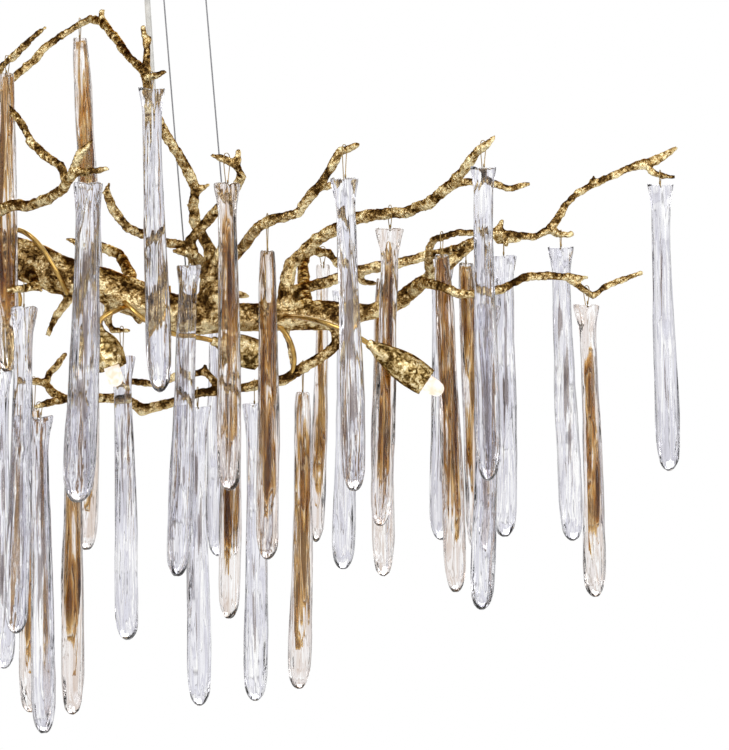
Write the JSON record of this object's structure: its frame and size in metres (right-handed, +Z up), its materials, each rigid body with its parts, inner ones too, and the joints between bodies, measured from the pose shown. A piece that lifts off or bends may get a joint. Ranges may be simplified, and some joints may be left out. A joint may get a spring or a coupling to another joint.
{
  "type": "branch chandelier",
  "caption": "Long brass branch chandelier hung on steel cables from a ceiling box, with small lamps and hanging glass drops on its twigs.",
  "frame": {"origin": "middle of the ceiling box's top face, where it meets the ceiling", "axes": "+Z up, +X along the bough, -Y towards the viewer of the picture"},
  "size_m": [1.5696, 0.4488, 0.8285],
  "materials": {
    "cast_brass": "hammered, aged",
    "polished_brass": "polished",
    "canopy_brass": "satin, aged",
    "steel_plate": "painted",
    "steel_cable": "satin",
    "clear_flex": "glossy, clear",
    "white_plastic": "matte",
    "ceramic": "glazed",
    "lamp_glass": "frosted, lit",
    "drop_glass": "clear with amber streaks"
  },
  "bodies": {
    "frame": {"trunk": "cast_brass", "crown_branches_right": "cast_brass", "crown_branches_left": "cast_brass", "front_branches_right": "cast_brass", "front_branches_left": "cast_brass", "outer_branches_right": "cast_brass", "outer_branches_left": "cast_brass", "back_and_lower_branches_right": "cast_brass", "back_and_lower_branches_left": "cast_brass", "conduits": "polished_brass", "lamp_cups": "cast_brass", "lampholders": "ceramic", "bulbs": "lamp_glass", "ceiling_plate": "steel_plate", "canopy_cover": "canopy_brass", "cover_screws": "canopy_brass", "terminal_block": "white_plastic", "cable_grippers": "canopy_brass", "suspension_cables": "steel_cable", "cable_anchors": "polished_brass", "power_flex": "clear_flex", "flex_grip_and_bush": "polished_brass"},
    "arch_drops_right": {"drops_arch_right": "drop_glass"},
    "arch_drops_left": {"drops_arch_left": "drop_glass"},
    "crown_drops_right": {"drops_crown_right": "drop_glass"},
    "crown_drops_left": {"drops_crown_left": "drop_glass"},
    "front_drops_right": {"drops_front_right": "drop_glass"},
    "front_drops_left": {"drops_front_left": "drop_glass"},
    "prong_drops_right": {"drops_prong_right": "drop_glass"},
    "prong_drops_left": {"drops_prong_left": "drop_glass"},
    "lower_left_drops_right": {"drops_lower_left_right": "drop_glass"},
    "lower_left_drops_left": {"drops_lower_left_left": "drop_glass"},
    "fork_drops_right": {"drops_fork_right": "drop_glass"},
    "fork_drops_left": {"drops_fork_left": "drop_glass"},
    "climber_drops_right": {"drops_climber_right": "drop_glass"},
    "climber_drops_left": {"drops_climber_left": "drop_glass"},
    "lower_right_drops_right": {"drops_lower_right_right": "drop_glass"},
    "lower_right_drops_left": {"drops_lower_right_left": "drop_glass"},
    "sweep_drops_right": {"drops_sweep_right": "drop_glass"},
    "sweep_drops_left": {"drops_sweep_left": "drop_glass"},
    "backlink_drops_right": {"drops_backlink_right": "drop_glass"},
    "backlink_drops_left": {"drops_backlink_left": "drop_glass"},
    "bow_drops_right": {"drops_bow_right": "drop_glass"},
    "bow_drops_left": {"drops_bow_left": "drop_glass"},
    "bough_drops_right": {"drops_bough_right": "drop_glass"},
    "bough_drops_left": {"drops_bough_left": "drop_glass"},
    "trunk_drops_right": {"drops_trunk_right": "drop_glass"},
    "trunk_drops_left": {"drops_trunk_left": "drop_glass"},
    "rider_drops_right": {"drops_rider_right": "drop_glass"},
    "rider_drops_left": {"drops_rider_left": "drop_glass"},
    "tip_drops_right": {"drops_tip_right": "drop_glass"},
    "tip_drops_left": {"drops_tip_left": "drop_glass"},
    "horn_drops_right": {"drops_horn_right": "drop_glass"},
    "horn_drops_left": {"drops_horn_left": "drop_glass"},
    "stub_drops_right": {"drops_stub_right": "drop_glass"},
    "stub_drops_left": {"drops_stub_left": "drop_glass"},
    "under_drops_right": {"drops_under_right": "drop_glass"},
    "under_drops_left": {"drops_under_left": "drop_glass"},
    "hook_drops_right": {"drops_hook_right": "drop_glass"},
    "hook_drops_left": {"drops_hook_left": "drop_glass"}
  },
  "joints": [
    {"name": "swing_arch_right", "type": "hinge", "parent": "frame", "child": "arch_drops_right", "pos_m": [0.19, -0.07225, -0.17575], "axis": [0.949, -0.2912, -0.1211], "range_deg": [-2, 2]},
    {"name": "swing_arch_left", "type": "hinge", "parent": "frame", "child": "arch_drops_left", "pos_m": [-0.19, 0.07225, -0.17575], "axis": [0.949, -0.2912, 0.1211], "range_deg": [-2, 2]},
    {"name": "swing_crown_right", "type": "hinge", "parent": "frame", "child": "crown_drops_right", "pos_m": [0.1189, 0.0725, -0.15065], "axis": [0.8704, -0.0218, 0.4919], "range_deg": [-2, 2]},
    {"name": "swing_crown_left", "type": "hinge", "parent": "frame", "child": "crown_drops_left", "pos_m": [-0.1189, -0.0725, -0.15065], "axis": [0.8704, -0.0218, -0.4919], "range_deg": [-2, 2]},
    {"name": "swing_front_right", "type": "hinge", "parent": "frame", "child": "front_drops_right", "pos_m": [0.14275, -0.17, -0.29475], "axis": [0.8519, -0.508, 0.127], "range_deg": [-2, 2]},
    {"name": "swing_front_left", "type": "hinge", "parent": "frame", "child": "front_drops_left", "pos_m": [-0.14275, 0.17, -0.29475], "axis": [0.8519, -0.508, -0.127], "range_deg": [-2, 2]},
    {"name": "swing_prong_right", "type": "hinge", "parent": "frame", "child": "prong_drops_right", "pos_m": [0.21702, -0.06715, -0.37272], "axis": [0.9639, 0.1613, 0.2118], "range_deg": [-2, 2]},
    {"name": "swing_prong_left", "type": "hinge", "parent": "frame", "child": "prong_drops_left", "pos_m": [-0.21702, 0.06715, -0.37272], "axis": [0.9639, 0.1613, -0.2118], "range_deg": [-2, 2]},
    {"name": "swing_lower_left_right", "type": "hinge", "parent": "frame", "child": "lower_left_drops_right", "pos_m": [0.16529, -0.03081, -0.50192], "axis": [0.6447, 0.751, 0.1427], "range_deg": [-2, 2]},
    {"name": "swing_lower_left_left", "type": "hinge", "parent": "frame", "child": "lower_left_drops_left", "pos_m": [-0.16529, 0.03081, -0.50192], "axis": [0.6447, 0.751, -0.1427], "range_deg": [-2, 2]},
    {"name": "swing_fork_right", "type": "hinge", "parent": "frame", "child": "fork_drops_right", "pos_m": [0.39255, -0.1055, -0.26225], "axis": [0.8831, -0.4672, 0.0437], "range_deg": [-2, 2]},
    {"name": "swing_fork_left", "type": "hinge", "parent": "frame", "child": "fork_drops_left", "pos_m": [-0.39255, 0.1055, -0.26225], "axis": [0.8831, -0.4672, -0.0437], "range_deg": [-2, 2]},
    {"name": "swing_climber_right", "type": "hinge", "parent": "frame", "child": "climber_drops_right", "pos_m": [0.43455, -0.0624, -0.3206], "axis": [0.9816, 0.1733, 0.0801], "range_deg": [-2, 2]},
    {"name": "swing_climber_left", "type": "hinge", "parent": "frame", "child": "climber_drops_left", "pos_m": [-0.43455, 0.0624, -0.3206], "axis": [0.9816, 0.1733, -0.0801], "range_deg": [-2, 2]},
    {"name": "swing_lower_right_right", "type": "hinge", "parent": "frame", "child": "lower_right_drops_right", "pos_m": [0.35475, 0.0145, -0.48105], "axis": [0.9723, -0.0239, 0.2327], "range_deg": [-2, 2]},
    {"name": "swing_lower_right_left", "type": "hinge", "parent": "frame", "child": "lower_right_drops_left", "pos_m": [-0.35475, -0.0145, -0.48105], "axis": [0.9723, -0.0239, -0.2327], "range_deg": [-2, 2]},
    {"name": "swing_sweep_right", "type": "hinge", "parent": "frame", "child": "sweep_drops_right", "pos_m": [0.43685, 0.1964, -0.35335], "axis": [0.6791, 0.5596, -0.4751], "range_deg": [-2, 2]},
    {"name": "swing_sweep_left", "type": "hinge", "parent": "frame", "child": "sweep_drops_left", "pos_m": [-0.43685, -0.1964, -0.35335], "axis": [0.6791, 0.5596, 0.4751], "range_deg": [-2, 2]},
    {"name": "swing_backlink_right", "type": "hinge", "parent": "frame", "child": "backlink_drops_right", "pos_m": [0.54985, 0.0531, -0.35123], "axis": [0.9791, -0.0273, 0.2017], "range_deg": [-2, 2]},
    {"name": "swing_backlink_left", "type": "hinge", "parent": "frame", "child": "backlink_drops_left", "pos_m": [-0.54985, -0.0531, -0.35123], "axis": [0.9791, -0.0273, -0.2017], "range_deg": [-2, 2]},
    {"name": "swing_bow_right", "type": "hinge", "parent": "frame", "child": "bow_drops_right", "pos_m": [0.5458, -0.0408, -0.3386], "axis": [0.9744, -0.2249, 0], "range_deg": [-2, 2]},
    {"name": "swing_bow_left", "type": "hinge", "parent": "frame", "child": "bow_drops_left", "pos_m": [-0.5458, 0.0408, -0.3386], "axis": [0.9744, -0.2249, 0], "range_deg": [-2, 2]},
    {"name": "swing_bough_right", "type": "hinge", "parent": "frame", "child": "bough_drops_right", "pos_m": [0.583, -0.14, -0.2565], "axis": [0.8575, -0.5145, 0], "range_deg": [-2, 2]},
    {"name": "swing_bough_left", "type": "hinge", "parent": "frame", "child": "bough_drops_left", "pos_m": [-0.583, 0.14, -0.2565], "axis": [0.8575, -0.5145, 0], "range_deg": [-2, 2]},
    {"name": "swing_trunk_right", "type": "hinge", "parent": "frame", "child": "trunk_drops_right", "pos_m": [0.6185, 0.0036, -0.3418], "axis": [0.9878, 0.025, 0.1539], "range_deg": [-2, 2]},
    {"name": "swing_trunk_left", "type": "hinge", "parent": "frame", "child": "trunk_drops_left", "pos_m": [-0.6185, -0.0036, -0.3418], "axis": [0.9878, 0.025, -0.1539], "range_deg": [-2, 2]},
    {"name": "swing_rider_right", "type": "hinge", "parent": "frame", "child": "rider_drops_right", "pos_m": [0.6396, -0.0568, -0.39313], "axis": [0.8846, 0.4662, 0.0111], "range_deg": [-2, 2]},
    {"name": "swing_rider_left", "type": "hinge", "parent": "frame", "child": "rider_drops_left", "pos_m": [-0.6396, 0.0568, -0.39313], "axis": [0.8846, 0.4662, -0.0111], "range_deg": [-2, 2]},
    {"name": "swing_tip_right", "type": "hinge", "parent": "frame", "child": "tip_drops_right", "pos_m": [0.76415, -0.0113, -0.2756], "axis": [0.9839, -0.1789, 0], "range_deg": [-2, 2]},
    {"name": "swing_tip_left", "type": "hinge", "parent": "frame", "child": "tip_drops_left", "pos_m": [-0.76415, 0.0113, -0.2756], "axis": [0.9839, -0.1789, 0], "range_deg": [-2, 2]},
    {"name": "swing_horn_right", "type": "hinge", "parent": "frame", "child": "horn_drops_right", "pos_m": [0.2526, 0.1166, -0.3461], "axis": [0.9875, -0.1271, -0.0931], "range_deg": [-2, 2]},
    {"name": "swing_horn_left", "type": "hinge", "parent": "frame", "child": "horn_drops_left", "pos_m": [-0.2526, -0.1166, -0.3461], "axis": [0.9875, -0.1271, 0.0931], "range_deg": [-2, 2]},
    {"name": "swing_stub_right", "type": "hinge", "parent": "frame", "child": "stub_drops_right", "pos_m": [0.28025, 0.0309, -0.41235], "axis": [0.8502, 0.4413, 0.2871], "range_deg": [-2, 2]},
    {"name": "swing_stub_left", "type": "hinge", "parent": "frame", "child": "stub_drops_left", "pos_m": [-0.28025, -0.0309, -0.41235], "axis": [0.8502, 0.4413, -0.2871], "range_deg": [-2, 2]},
    {"name": "swing_under_right", "type": "hinge", "parent": "frame", "child": "under_drops_right", "pos_m": [0.0816, 0.03935, -0.45585], "axis": [0.9706, 0.1253, -0.2053], "range_deg": [-2, 2]},
    {"name": "swing_under_left", "type": "hinge", "parent": "frame", "child": "under_drops_left", "pos_m": [-0.0816, -0.03935, -0.45585], "axis": [0.9706, 0.1253, 0.2053], "range_deg": [-2, 2]},
    {"name": "swing_hook_right", "type": "hinge", "parent": "frame", "child": "hook_drops_right", "pos_m": [0.137, 0.017, -0.4815], "axis": [0.9191, -0.3939, 0], "range_deg": [-2, 2]},
    {"name": "swing_hook_left", "type": "hinge", "parent": "frame", "child": "hook_drops_left", "pos_m": [-0.137, -0.017, -0.4815], "axis": [0.9191, -0.3939, 0], "range_deg": [-2, 2]}
  ]
}
